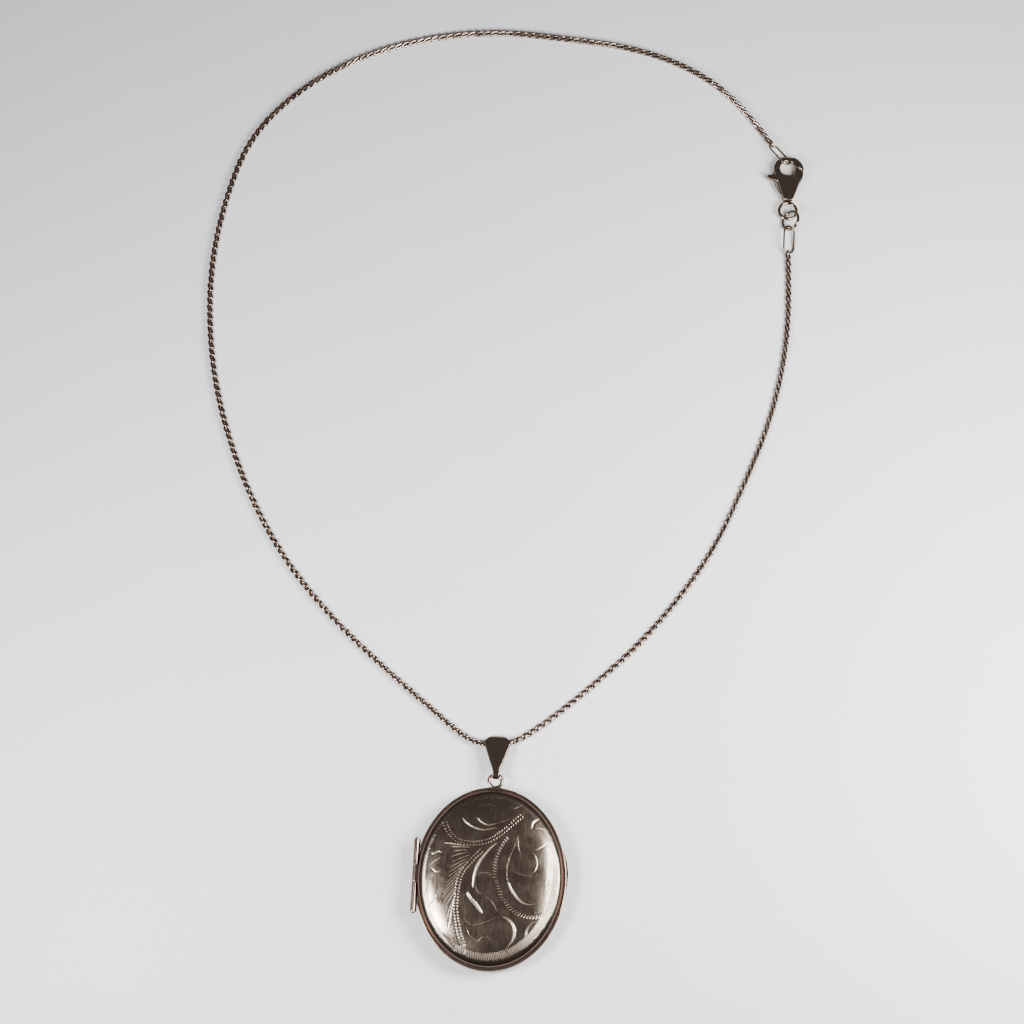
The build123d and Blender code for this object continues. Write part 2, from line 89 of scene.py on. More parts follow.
def metal(name, color, rough, dirt=0.35, scratch=0.25, bump=0.02, cut=False):
    """Worn polished metal: cloudy roughness, fine scratches and, where cuts are marked, a lighter painted
    highlight colour with more roughness in the cuts, the deepest cuts darkened almost to black, and painted
    shade on the steep edge.
    """
    material = bpy.data.materials.new(name)
    material.use_nodes = True
    tree = material.node_tree
    tree.nodes.clear()
    out = tree.nodes.new("ShaderNodeOutputMaterial")
    shader = tree.nodes.new("ShaderNodeBsdfPrincipled")
    shader.inputs["Metallic"].default_value = 1.0
    shader.inputs["Specular Tint"].default_value = (0.4, 0.34, 0.32, 1)
    where = tree.nodes.new("ShaderNodeTexCoord")
    clouds = tree.nodes.new("ShaderNodeTexNoise")
    clouds.inputs["Scale"].default_value = 420.0
    clouds.inputs["Detail"].default_value = 6.0
    clouds.inputs["Roughness"].default_value = 0.6
    link_nodes(tree, where, "Object", clouds, "Vector")
    grain = tree.nodes.new("ShaderNodeTexNoise")
    grain.inputs["Scale"].default_value = 4200.0
    grain.inputs["Detail"].default_value = 3.0
    link_nodes(tree, where, "Object", grain, "Vector")
    stretch = tree.nodes.new("ShaderNodeMapping")
    stretch.inputs["Rotation"].default_value = (0.3, 0.2, 0.7)
    stretch.inputs["Scale"].default_value = (9000.0, 500.0, 2500.0)
    link_nodes(tree, where, "Object", stretch, "Vector")
    scratches = tree.nodes.new("ShaderNodeTexNoise")
    scratches.inputs["Scale"].default_value = 1.0
    scratches.inputs["Detail"].default_value = 2.0
    link_nodes(tree, stretch, "Vector", scratches, "Vector")

    tone = tree.nodes.new("ShaderNodeValToRGB")
    tone.color_ramp.elements[0].position = 0.32
    tone.color_ramp.elements[0].color = (*[c * (1 - dirt) for c in color], 1)
    tone.color_ramp.elements[1].position = 0.62
    tone.color_ramp.elements[1].color = (*color, 1)
    link_nodes(tree, clouds, "Fac", tone, "Fac")
    base, base_socket = tone, "Color"
    if cut:
        mark = tree.nodes.new("ShaderNodeAttribute")
        mark.attribute_name = "cut"
        cut_sheen_and_rough = tree.nodes.new("ShaderNodeMapRange")
        cut_sheen_and_rough.inputs["From Min"].default_value = 0.2
        cut_sheen_and_rough.inputs["From Max"].default_value = 0.6
        link_nodes(tree, mark, "Fac", cut_sheen_and_rough, "Value")
        deep = tree.nodes.new("ShaderNodeMapRange")
        deep.inputs["From Min"].default_value = 0.75
        deep.inputs["From Max"].default_value = 1.0
        deep.inputs["To Max"].default_value = 0.5
        link_nodes(tree, mark, "Fac", deep, "Value")
        # painted highlight: shallow and middling cuts get a lighter colour, standing in for light their
        # facets catch; the deepest cuts are darkened almost to black
        for amount, shade in ((cut_sheen_and_rough, (0.42, 0.34, 0.27)), (deep, (0.07, 0.045, 0.04))):
            cut_tint = tree.nodes.new("ShaderNodeMix")
            cut_tint.data_type = "RGBA"
            cut_tint.inputs["B"].default_value = (*shade, 1)
            link_nodes(tree, amount, "Result", cut_tint, "Factor")
            tree.links.new(base.outputs[base_socket], cut_tint.inputs["A"])
            base, base_socket = cut_tint, "Result"
        # painted shade: the steep outer edge of the cover is darkened almost to black, standing in for the
        # dark room it reflects
        toward_edge = tree.nodes.new("ShaderNodeAttribute")
        toward_edge.attribute_name = "edge"
        painted_edge_shade = tree.nodes.new("ShaderNodeMix")
        painted_edge_shade.data_type = "RGBA"
        painted_edge_shade.inputs["B"].default_value = (0.09, 0.06, 0.05, 1)
        link_nodes(tree, toward_edge, "Fac", painted_edge_shade, "Factor")
        tree.links.new(base.outputs[base_socket], painted_edge_shade.inputs["A"])
        base = painted_edge_shade
    tree.links.new(base.outputs[base_socket], shader.inputs["Base Color"])

    spread = tree.nodes.new("ShaderNodeMapRange")
    spread.inputs["From Min"].default_value = 0.3
    spread.inputs["From Max"].default_value = 0.7
    spread.inputs["To Min"].default_value = rough + 0.06
    spread.inputs["To Max"].default_value = max(rough - 0.06, 0.04)
    link_nodes(tree, clouds, "Fac", spread, "Value")
    dull = tree.nodes.new("ShaderNodeMath")
    dull.operation = "MULTIPLY_ADD"
    dull.inputs[1].default_value = scratch
    link_nodes(tree, scratches, "Fac", dull, 0)
    link_nodes(tree, spread, "Result", dull, 2)
    less = tree.nodes.new("ShaderNodeMath")
    less.operation = "SUBTRACT"
    less.use_clamp = True
    less.inputs[1].default_value = scratch * 0.5
    link_nodes(tree, dull, "Value", less, 0)
    rough_from = less
    if cut:
        rough_from = tree.nodes.new("ShaderNodeMath")
        rough_from.operation = "MULTIPLY_ADD"
        rough_from.use_clamp = True
        rough_from.inputs[1].default_value = CUT_ROUGHNESS
        link_nodes(tree, cut_sheen_and_rough, "Result", rough_from, 0)
        link_nodes(tree, less, "Value", rough_from, 2)
    link_nodes(tree, rough_from, "Value", shader, "Roughness")

    relief = tree.nodes.new("ShaderNodeBump")
    relief.inputs["Strength"].default_value = 0.35
    relief.inputs["Distance"].default_value = bump * MM
    heights = tree.nodes.new("ShaderNodeMath")
    heights.operation = "ADD"
    link_nodes(tree, grain, "Fac", heights, 0)
    link_nodes(tree, scratches, "Fac", heights, 1)
    link_nodes(tree, heights, "Value", relief, "Height")
    link_nodes(tree, relief, "Normal", shader, "Normal")
    link_nodes(tree, shader, "BSDF", out, "Surface")
    return material


def plain(name, color, rough, scale=900.0, vary=0.12, transmission=0.0):
    """Card, clear sheet or floor: one colour with a fine mottle."""
    material = bpy.data.materials.new(name)
    material.use_nodes = True
    tree = material.node_tree
    shader = tree.nodes["Principled BSDF"]
    shader.inputs["Transmission Weight"].default_value = transmission
    where = tree.nodes.new("ShaderNodeTexCoord")
    mottle = tree.nodes.new("ShaderNodeTexNoise")
    mottle.inputs["Scale"].default_value = scale
    mottle.inputs["Detail"].default_value = 5.0
    link_nodes(tree, where, "Object", mottle, "Vector")
    tone = tree.nodes.new("ShaderNodeValToRGB")
    tone.color_ramp.elements[0].position = 0.3
    tone.color_ramp.elements[0].color = (*[c * (1 - vary) for c in color], 1)
    tone.color_ramp.elements[1].position = 0.7
    tone.color_ramp.elements[1].color = (*color, 1)
    link_nodes(tree, mottle, "Fac", tone, "Fac")
    link_nodes(tree, tone, "Color", shader, "Base Color")
    spread = tree.nodes.new("ShaderNodeMapRange")
    spread.inputs["To Min"].default_value = rough - 0.05
    spread.inputs["To Max"].default_value = rough + 0.05
    link_nodes(tree, mottle, "Fac", spread, "Value")
    link_nodes(tree, spread, "Result", shader, "Roughness")
    relief = tree.nodes.new("ShaderNodeBump")
    relief.inputs["Strength"].default_value = 0.2
    relief.inputs["Distance"].default_value = 0.01 * MM
    link_nodes(tree, mottle, "Fac", relief, "Height")
    link_nodes(tree, relief, "Normal", shader, "Normal")
    return material


ENGRAVED = metal("engraved_gold", (0.35, 0.28, 0.225), 0.19, dirt=0.3, scratch=0.2, bump=0.012, cut=True)
POLISHED = metal("polished_gold", (0.4, 0.325, 0.265), 0.16, dirt=0.3)
RIM = metal("rim_gold", (0.36, 0.265, 0.225), 0.2, dirt=0.35)
INNER = metal("inner_gold", (0.66, 0.47, 0.36), 0.16, dirt=0.15)
CHAIN = metal("chain_gold", (0.34, 0.265, 0.22), 0.14, dirt=0.35, bump=0.008)
CLASP = metal("clasp_gold", (0.4, 0.33, 0.265), 0.13, dirt=0.3)
STEEL = metal("spring_steel", (0.55, 0.53, 0.5), 0.28, dirt=0.2)
CARD = plain("picture_card", (0.83, 0.79, 0.71), 0.7)
CLEAR = plain("clear_sheet", (0.95, 0.95, 0.93), 0.1, vary=0.02, transmission=0.9)
FLOOR = plain("floor", (0.86, 0.86, 0.87), 0.5, scale=60.0, vary=0.015)

SLOTS = {
    "engraved_gold": ENGRAVED, "polished_gold": POLISHED, "rim_gold": RIM, "inner_gold": INNER,
    "chain_gold": CHAIN, "clasp_gold": CLASP, "spring_steel": STEEL, "picture_card": CARD,
    "clear_sheet": CLEAR,
}


def paint(obj, material):
    obj.data.materials.clear()
    obj.data.materials.append(material)


for part in frame["record"]["subparts"]:
    paint(frame["nodes"][part["node"]], SLOTS[part["material_slot"]])


# ------------------------------------------------------------------ making pieces
def add_object(name, data):
    obj = bpy.data.objects.new(name, data)
    bpy.context.scene.collection.objects.link(obj)
    return obj


def mesh_piece(name, points, faces, smooth=True):
    """An object from points in millimetres."""
    data = bpy.data.meshes.new(name)
    data.from_pydata([tuple(c * MM for c in p) for p in points], [], faces)
    data.validate()
    data.polygons.foreach_set("use_smooth", [smooth] * len(data.polygons))
    data.update()
    return add_object(name, data)


def freeze(name, source):
    """The plain mesh of an object with its modifiers or bevels made real; the source is removed."""
    bpy.context.view_layer.update()
    ready = source.evaluated_get(bpy.context.evaluated_depsgraph_get())
    data = bpy.data.meshes.new_from_object(ready)
    bpy.data.objects.remove(source)
    data.name = name
    obj = add_object(name, data)
    obj.data.polygons.foreach_set("use_smooth", [True] * len(obj.data.polygons))
    return obj


def finished(obj, body, slot, *nodes):
    """Paint a piece, give it to its body and let it stand for its CAD nodes."""
    paint(obj, SLOTS[slot])
    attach(obj, body)
    if nodes:
        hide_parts(*nodes)
    return obj


def wire(name, points, thickness, closed=True, steps=6):
    """Round wire along points in millimetres."""
    data = bpy.data.curves.new(name, "CURVE")
    data.dimensions = "3D"
    data.bevel_depth = thickness / 2 * MM
    data.bevel_resolution = steps
    data.use_fill_caps = True
    line = data.splines.new("POLY")
    line.points.add(len(points) - 1)
    for point, at in zip(line.points, points):
        point.co = (at[0] * MM, at[1] * MM, at[2] * MM, 1)
    line.use_cyclic_u = closed
    return freeze(name, add_object(name + "_line", data))


def facing_axes(facing, ahead=None):
    """Two directions across a facing direction."""
    facing = Vector(facing).normalized()
    first = Vector(ahead) if ahead else facing.orthogonal()
    first = (first - facing * first.dot(facing)).normalized()
    return first, facing.cross(first)


def ring_points(centre, facing, radius, count=72):
    first, second = facing_axes(facing)
    return [
        Vector(centre) + (first * cos(a) + second * sin(a)) * radius
        for a in (2 * pi * i / count for i in range(count))
    ]


def soften(name, node, voxel, rounds, grow=0.0):
    """A CAD piece with its edges worn round, and grown by what that took off."""
    source = add_object(name + "_source", frame["nodes"][node].data.copy())
    source.matrix_world = frame["nodes"][node].matrix_world.copy()
    skin = source.modifiers.new("skin", "REMESH")
    skin.mode = "VOXEL"
    skin.voxel_size = voxel * MM
    skin.use_smooth_shade = True
    ease = source.modifiers.new("ease", "SMOOTH")
    ease.factor = 0.5
    ease.iterations = rounds
    if grow:
        swell = source.modifiers.new("swell", "DISPLACE")
        swell.mid_level = 0.0
        swell.strength = grow * MM
    placed = source.matrix_world.copy()
    obj = freeze(name, source)
    obj.data.transform(placed)
    return obj


# ------------------------------------------------------------------ chain
LYING = 0.62
IN_BAIL = 1.34
CHAIN_ROUTE = [
    (56.9, 137.5, 0.9), (57.2, 131.0, LYING), (57.2, 121.6, LYING), (56.2, 111.0, LYING),
    (53.4, 98.4, LYING), (48.8, 85.8, LYING), (43.6, 72.8, LYING), (36.5, 61.0, LYING),
    (27.5, 49.5, LYING), (17.6, 39.8, LYING), (8.7, 31.9, 0.8), (2.8, 27.8, IN_BAIL),
    (-2.8, 27.4, IN_BAIL), (-6.9, 28.9, 0.9), (-12.4, 33.3, LYING), (-22.6, 41.3, LYING),
    (-34.6, 51.5, LYING), (-45.3, 63.2, LYING), (-53.2, 75.4, LYING), (-59.3, 88.4, LYING),
    (-63.8, 101.8, LYING), (-66.3, 115.4, LYING), (-67.1, 129.6, LYING), (-65.4, 144.6, LYING),
    (-61.3, 159.6, LYING), (-51.8, 171.4, LYING), (-38.8, 180.4, LYING), (-23.8, 185.8, LYING),
    (-8.0, 188.2, LYING), (8.0, 187.1, LYING), (22.6, 185.6, LYING), (36.0, 180.9, LYING),
    (46.6, 172.6, LYING), (52.2, 164.5, 0.9),
]
LINK_PITCH = 1.64
LINK_HALF_LENGTH = 1.1
LINK_HALF_WIDTH = 0.36
LINK_WIRE = 0.42
LINK_SLANT = 20.0
LINK_ROLL = 40.0


def route_curve(name):
    data = bpy.data.curves.new(name, "CURVE")
    data.dimensions = "3D"
    data.resolution_u = 12
    line = data.splines.new("NURBS")
    line.points.add(len(CHAIN_ROUTE) - 1)
    for point, at in zip(line.points, CHAIN_ROUTE):
        point.co = (at[0] * MM, at[1] * MM, at[2] * MM, 1)
    line.order_u = 3
    line.use_endpoint_u = True
    return add_object(name, data)


def route_line():
    """The route as close points, in metres."""
    source = route_curve("route_source")
    bpy.context.view_layer.update()
    ready = source.evaluated_get(bpy.context.evaluated_depsgraph_get())
    data = bpy.data.meshes.new_from_object(ready)
    points = [tuple(v.co) for v in data.vertices]
    bpy.data.meshes.remove(data)
    bpy.data.objects.remove(source)
    return points


def chain_link():
    """One slanted link: an oval ring of slightly flattened wire, rolled about its length."""
    around, sides = 16, 8
    points, faces = [], []
    tilt = Matrix.Rotation(radians(LINK_SLANT), 3, "Z") @ Matrix.Rotation(radians(LINK_ROLL), 3, "X")
    for i in range(around):
        a = 2 * pi * i / around
        middle = Vector((cos(a) * (LINK_HALF_LENGTH - LINK_WIRE / 2), sin(a) * LINK_HALF_WIDTH, 0))
        out = Vector((cos(a) * LINK_HALF_WIDTH, sin(a) * LINK_HALF_LENGTH, 0)).normalized()
        for j in range(sides):
            b = 2 * pi * j / sides
            rise = Vector((0, 0, sin(b) * LINK_WIRE * 0.7))
            points.append(tilt @ (middle + out * cos(b) * LINK_WIRE * 0.66 + rise))
    for i in range(around):
        for j in range(sides):
            i2, j2 = (i + 1) % around, (j + 1) % sides
            faces.append((i * sides + j, i2 * sides + j, i2 * sides + j2, i * sides + j2))
    return mesh_piece("chain_link", points, faces)


def links_group(link_obj):
    """Geometry Nodes: links set along a curve at an even pitch."""
    group = bpy.data.node_groups.new("links_on_route", "GeometryNodeTree")
    group.interface.new_socket("Geometry", in_out="INPUT", socket_type="NodeSocketGeometry")
    pitch = group.interface.new_socket("Pitch", in_out="INPUT", socket_type="NodeSocketFloat")
    group.interface.new_socket("Geometry", in_out="OUTPUT", socket_type="NodeSocketGeometry")
    nodes = group.nodes
    start, end = nodes.new("NodeGroupInput"), nodes.new("NodeGroupOutput")
    sample = nodes.new("GeometryNodeCurveToPoints")
    sample.mode = "LENGTH"
    link_nodes(group, start, 0, sample, "Curve")
    link_nodes(group, start, 1, sample, "Length")
    one = nodes.new("GeometryNodeObjectInfo")
    one.inputs["Object"].default_value = link_obj
    upright = nodes.new("FunctionNodeAxesToRotation")
    upright.primary_axis, upright.secondary_axis = "X", "Z"
    link_nodes(group, sample, "Tangent", upright, "Primary Axis")
    upright.inputs["Secondary Axis"].default_value = (0, 0, 1)
    chance = nodes.new("FunctionNodeRandomValue")
    chance.data_type = "FLOAT_VECTOR"
    chance.inputs[0].default_value = (-0.13, -0.05, -0.05)
    chance.inputs[1].default_value = (0.13, 0.05, 0.05)
    chance.inputs["Seed"].default_value = 4
    lean = nodes.new("FunctionNodeEulerToRotation")
    link_nodes(group, chance, 0, lean, 0)
    turned = nodes.new("FunctionNodeRotateRotation")
    turned.rotation_space = "LOCAL"
    link_nodes(group, upright, 0, turned, 0)
    link_nodes(group, lean, 0, turned, 1)
    place = nodes.new("GeometryNodeInstanceOnPoints")
    link_nodes(group, sample, "Points", place, "Points")
    link_nodes(group, one, "Geometry", place, "Instance")
    link_nodes(group, turned, 0, place, "Rotation")
    real = nodes.new("GeometryNodeRealizeInstances")
    link_nodes(group, place, "Instances", real, "Geometry")
    colour = nodes.new("GeometryNodeSetMaterial")
    colour.inputs["Material"].default_value = CHAIN
    link_nodes(group, real, "Geometry", colour, "Geometry")
    link_nodes(group, colour, "Geometry", end, 0)
    return group, pitch.identifier


one_link = chain_link()
route = route_curve("chain_route")
links, pitch_id = links_group(one_link)
laid = route.modifiers.new("links", "NODES")
laid.node_group = links
laid[pitch_id] = LINK_PITCH * MM
chain_links = freeze("chain_links", route)
bpy.data.objects.remove(one_link)
finished(chain_links, "chain", "chain_gold", "chain")

EYE_A_AT, EYE_B_AT = (56.8, 138.3, 0.95), (52.75, 163.75, 0.95)
for name, at, along in (("a", EYE_A_AT, (0, 1, 0)), ("b", EYE_B_AT, (0.57, -0.82, 0))):
    eye = wire(f"last_link_{name}", ring_points(at, Vector(along).cross((0, 0, 1)), 0.7, 40), 0.4)
    finished(eye, "chain", "chain_gold", f"chain_eye_{name}")


def oval_link(name, centre, along, roll, length=6.4, width=3.0, thickness=0.42):
    """A long link with straight sides and round ends."""
    ahead = Vector(along).normalized()
    across = Vector((0, 0, 1)).cross(ahead).normalized()
    facing = ahead.cross(across) * cos(radians(roll)) + across * sin(radians(roll))
    side = facing.cross(ahead)
    end_radius = (width - thickness) / 2
    straight = (length - thickness) / 2 - end_radius
    points = []
    for sign in (1, -1):
        for i in range(21):
            a = -pi / 2 + pi * i / 20
            points.append(
                Vector(centre)
                + sign * (ahead * (straight + end_radius * cos(a)) + side * end_radius * sin(a))
            )
    return wire(name, points, thickness)


link_a = oval_link("long_link_a", (56.95, 141.4, 1.19), (0, 1, 0.13), -29.5)
finished(link_a, "end_link_a", "clasp_gold", "end_link_a")
link_b = oval_link("long_link_b", (54.5, 161.37, 1.25), (0.63, -0.69, 0), 41.0)
finished(link_b, "end_link_b", "clasp_gold", "end_link_b")
ring_facing = (sin(radians(-40.7)), 0, cos(radians(-40.7)))
thick_ring = wire("thick_ring", ring_points((57.15, 145.61, 1.73), ring_facing, 2.0), 0.7)
finished(thick_ring, "jump_ring", "clasp_gold", "jump_ring")
tail_ring = wire("tail_ring", ring_points((56.55, 148.025, 1.35), (0, 0, 1), 1.875), 0.7)
finished(tail_ring, "clasp", "clasp_gold", "clasp_tail_ring")
finished(soften("claw_body", "clasp_body", 0.07, 9, 0.05), "clasp", "clasp_gold", "clasp_body")
finished(soften("claw_lever", "clasp_lever", 0.06, 4, 0.05), "clasp_lever", "clasp_gold", "clasp_lever")

# ------------------------------------------------------------------ engraving
# Strokes on the cover, in millimetres: bright leaves, scroll lines, bead lines, notches and a fan
LEAVES = [
    ([(-6.4, 11.7), (-5.3, 10.3), (-3.7, 9.4), (-1.7, 9.1), (1.1, 9.8)], 0.5, 0.6),
    ([(-3.3, 11.7), (-2.5, 10.7), (-1.0, 10.1), (0.8, 10.6)], 0.45, 0.6),
    ([(1.0, 6.8), (-0.5, 5.2), (-1.9, 3.3), (-2.8, 1.5), (-3.2, -0.4), (-3.3, -2.6)], 0.75, 0.75),
    ([(-4.5, -3.3), (-3.9, -4.4), (-2.6, -5.8), (-1.2, -7.4)], 0.7, 0.75),
    ([(-8.9, -11.5), (-7.5, -13.1), (-6.0, -14.9)], 0.7, 0.6),
    ([(-5.8, -12.4), (-4.7, -13.9), (-4.3, -15.3)], 0.6, 0.6),
    ([(2.5, -7.6), (4.5, -8.7), (5.3, -10.3), (5.0, -12.2), (3.9, -13.8)], 0.55, 0.6),
    ([(3.5, -0.7), (4.6, -2.9), (6.2, -4.6), (7.9, -5.2), (9.7, -4.8)], 0.45, 0.6),
    ([(9.1, 12.1), (8.1, 11.1), (7.8, 9.8)], 0.5, 0.6),
    ([(10.1, -7.9), (8.6, -8.8), (7.7, -10.3), (7.6, -11.8)], 0.5, 0.6),
]
SCROLLS = [
    [(-3.2, 12.9), (-3.3, 11.7), (-2.5, 10.7), (-1.0, 10.1), (0.8, 10.6), (3.3, 11.5), (5.3, 12.3)],
    [(-3.3, 13.4), (-2.5, 14.2), (-0.9, 14.4), (0.2, 14.1), (1.0, 13.5)],
    [(5.7, 14.8), (4.9, 14.2), (3.8, 13.6)],
    [(5.5, 9.4), (4.7, 6.5), (3.7, 3.9), (3.3, 1.9), (3.5, -0.7), (4.6, -2.9), (6.2, -4.6), (7.9, -5.2),
     (9.7, -4.8), (10.4, -4.1)],
    [(5.2, 8.5), (5.4, 6.0), (6.2, 4.2)],
    [(3.3, 1.8), (4.8, 1.1), (6.9, 0.5), (8.6, 0.5), (10.6, 0.9)],
    [(7.4, 5.3), (8.7, 4.7), (9.3, 3.1), (8.9, 1.5), (7.9, 0.7)],
    [(8.4, 10.0), (10.0, 9.9), (10.8, 8.8), (11.1, 7.5), (10.1, 6.4), (8.7, 5.7), (7.5, 6.0)],
    [(2.5, -7.6), (4.5, -8.7), (5.3, -10.3), (5.0, -12.2), (3.9, -13.8), (1.9, -14.8), (-0.3, -14.7)],
    [(-4.4, -10.2), (-3.4, -11.9), (-2.0, -12.8), (-1.0, -12.0), (0.2, -12.1), (0.9, -13.0)],
    [(-5.0, -8.3), (-3.8, -9.6), (-2.2, -9.7), (0.0, -8.8), (1.8, -8.0), (3.2, -7.0)],
    [(-1.1, -4.0), (0.3, -4.8), (1.3, -6.1), (1.7, -7.2)],
    [(-2.7, 0.1), (-1.5, 0.6), (-0.3, 0.4), (0.6, -0.4)],
    [(-3.0, -1.3), (-2.5, -3.0), (-1.2, -3.8)],
    [(-12.4, 4.8), (-11.7, 3.9), (-10.6, 4.4), (-9.7, 4.0)],
    [(-9.7, 3.4), (-11.4, 2.3), (-11.9, 1.3), (-10.8, 0.3), (-10.0, 0.5)],
    [(-12.6, -0.9), (-12.6, -3.0), (-13.0, -4.4)],
    [(-12.5, -6.8), (-11.5, -5.8), (-10.4, -4.2)],
    [(10.6, -9.4), (9.3, -11.3), (8.0, -13.0)],
]
BEAD_LINES = [
    [(-9.8, 10.9), (-8.8, 8.6), (-7.2, 7.0), (-5.1, 6.4), (-3.1, 6.4), (-0.8, 7.0), (1.2, 8.2), (3.4, 10.1),
     (5.8, 12.4)],
    [(-1.6, 5.4), (-3.3, 3.6), (-4.8, 1.8), (-5.9, 0.0), (-6.4, -2.2), (-6.6, -4.5), (-6.6, -6.8),
     (-6.2, -9.3), (-5.6, -11.7), (-4.7, -13.7)],
]
NOTCH_LINE = [
    (3.4, 8.2), (2.0, 6.1), (1.1, 4.0), (0.8, 1.9), (1.0, -0.1), (1.8, -2.3), (2.9, -4.5), (4.5, -6.2),
    (6.5, -7.3), (9.3, -7.5), (11.9, -6.6),
]
FAN = [
    ((-9.9, 6.2), (-4.0, 5.7)), ((-8.6, 5.5), (-3.9, 5.5)), ((-8.0, 4.5), (-4.8, 5.1)),
    ((-8.3, 3.4), (-4.5, 4.7)), ((-8.1, 2.3), (-4.0, 4.2)), ((-8.3, 1.2), (-4.2, 3.7)),
    ((-8.4, 0.2), (-4.3, 3.2)), ((-8.7, -0.8), (-4.7, 2.3)), ((-8.8, -1.9), (-5.2, 1.6)),
    ((-9.0, -2.9), (-5.7, 0.7)), ((-9.3, -3.9), (-6.1, -0.4)), ((-9.6, -4.8), (-6.4, -1.3)),
    ((-9.2, -5.8), (-6.6, -2.1)), ((-8.8, -6.9), (-6.6, -2.7)), ((-8.2, -8.2), (-6.7, -4.0)),
    ((-7.8, -10.5), (-7.1, -5.5)),
]
CELL = 0.05  # of the depth raster that the strokes are cut into
FULL_MARK_DEPTH = 0.08  # a cut this deep is marked in full for the material
DEPTH_X, DEPTH_Y = int(2 * 15 / CELL), int(2 * 18.2 / CELL)
depth = np.zeros((DEPTH_Y, DEPTH_X))


def smooth_line(points, spacing=0.035):
    """Close points along a smooth line through a few given points, with the direction at each."""
    p = np.array(points, float)
    ends = np.vstack([2 * p[0] - p[1], p, 2 * p[-1] - p[-2]])
    out = []
    for a, b, c, d in zip(ends, ends[1:], ends[2:], ends[3:]):
        count = max(2, int(np.linalg.norm(c - b) / spacing))
        t = np.linspace(0, 1, count, endpoint=False)[:, None]
        out.append(0.5 * (2 * b + (c - a) * t + (2 * a - 5 * b + 4 * c - d) * t**2
                          + (3 * b - a - 3 * c + d) * t**3))
    line = np.vstack(out + [p[-1:]])
    ahead = np.gradient(line, axis=0)
    ahead /= np.linalg.norm(ahead, axis=1)[:, None] + 1e-9
    return line, ahead


def engrave(points, width, deep, lean=0.0, taper=0.6):
    """Cut one V-shaped stroke, deepest towards the side that lean gives, thin at both ends."""
    line, ahead = smooth_line(points)
    reach = int(width / 2 / CELL) + 2
    window = np.arange(-reach, reach + 1)
    count = len(line)
    for i in range(count):
        half = width / 2 * max(sin(pi * (i + 0.5) / count), 0.02) ** taper
        column = int((line[i, 0] + 15) / CELL)
        row = int((line[i, 1] + 18.2) / CELL)
        if not (reach < column < DEPTH_X - reach - 1 and reach < row < DEPTH_Y - reach - 1):
            continue
        gx = (column + window + 0.5) * CELL - 15 - line[i, 0]
        gy = (row + window + 0.5) * CELL - 18.2 - line[i, 1]
        ox, oy = np.meshgrid(gx, gy)
        forward = np.abs(ox * ahead[i, 0] + oy * ahead[i, 1])
        side = -ox * ahead[i, 1] + oy * ahead[i, 0]
        ridge = lean * half
        shape = np.where(side < ridge, (side + half) / (half + ridge), (half - side) / (half - ridge))
        shape = np.clip(shape, 0, 1) * (forward < CELL)
        patch = depth[row - reach:row + reach + 1, column - reach:column + reach + 1]
        np.maximum(patch, shape * deep * min(1, half / (width / 4)), out=patch)


def beads(points, offset, pitch, slant, length, width, deep):
    """Short strokes set at a slant along a line."""
    line, ahead = smooth_line(points)
    run = np.r_[0, np.cumsum(np.linalg.norm(np.diff(line, axis=0), axis=1))]
    for at in np.arange(pitch, run[-1], pitch):
        i = int(np.searchsorted(run, at))
        side = np.array([-ahead[i, 1], ahead[i, 0]])
        middle = line[i] + side * offset
        turn = radians(slant)
        along = ahead[i] * cos(turn) + side * sin(turn)
        engrave([middle - along * length / 2, middle + along * length / 2], width, deep, taper=0.4)


BROAD_LEAF, BROAD_LEAF_DEPTH, LEAF_DEPTH = 0.7, 0.15, 0.1
SCROLL_WIDTH, SCROLL_DEPTH, SCROLL_LEAN = 0.25, 0.055, 0.45
BEAD_PITCH, BEAD_OFFSET, BEAD_SLANT = 0.6, 0.34, 50
BEAD_LENGTH, BEAD_WIDTH, BEAD_DEPTH = 0.42, 0.22, 0.07
NOTCH_SLANT, NOTCH_LENGTH, NOTCH_WIDTH, NOTCH_DEPTH = 65, 0.7, 0.24, 0.08
FAN_WIDTH, FAN_DEPTH, FAN_LEAN = 0.28, 0.085, 0.5
for points, width, lean in LEAVES:
    engrave(points, width, BROAD_LEAF_DEPTH if width >= BROAD_LEAF else LEAF_DEPTH, lean)
for points in SCROLLS:
    engrave(points, SCROLL_WIDTH, SCROLL_DEPTH, SCROLL_LEAN)
for points in BEAD_LINES:
    for offset in (BEAD_OFFSET, -BEAD_OFFSET):
        beads(points, offset, BEAD_PITCH, BEAD_SLANT, BEAD_LENGTH, BEAD_WIDTH, BEAD_DEPTH)
beads(NOTCH_LINE, 0.0, BEAD_PITCH, NOTCH_SLANT, NOTCH_LENGTH, NOTCH_WIDTH, NOTCH_DEPTH)
for start, finish in FAN:
    engrave([start, finish], FAN_WIDTH, FAN_DEPTH, FAN_LEAN)

chance = np.random.default_rng(7)
# the border's short cuts point outwards, and are longest at the lower right
BORDER_CUTS = 230
for i in range(BORDER_CUTS):
    a = 2 * pi * i / BORDER_CUTS
    lower_right = max(0.0, cos(a + pi / 4))
    inner = 0.885 - 0.06 * lower_right
    outer = 0.925 + 0.012 * chance.random()
    lean_in = 0.03
    start = (DOME_X * inner * cos(a), DOME_Y * inner * sin(a))
    finish = (DOME_X * outer * cos(a + lean_in), DOME_Y * outer * sin(a + lean_in))
    engrave([start, finish], 0.28, 0.05 + 0.05 * lower_right, 0.3, taper=0.5)
# close hatching beside the right-hand leaves
for i in range(34):
    y = -2.2 + 0.27 * i
    engrave([(11.0 + 0.5 * chance.random(), y), (12.7 - abs(y - 2.5) * 0.12, y + 0.55)], 0.22, 0.04)


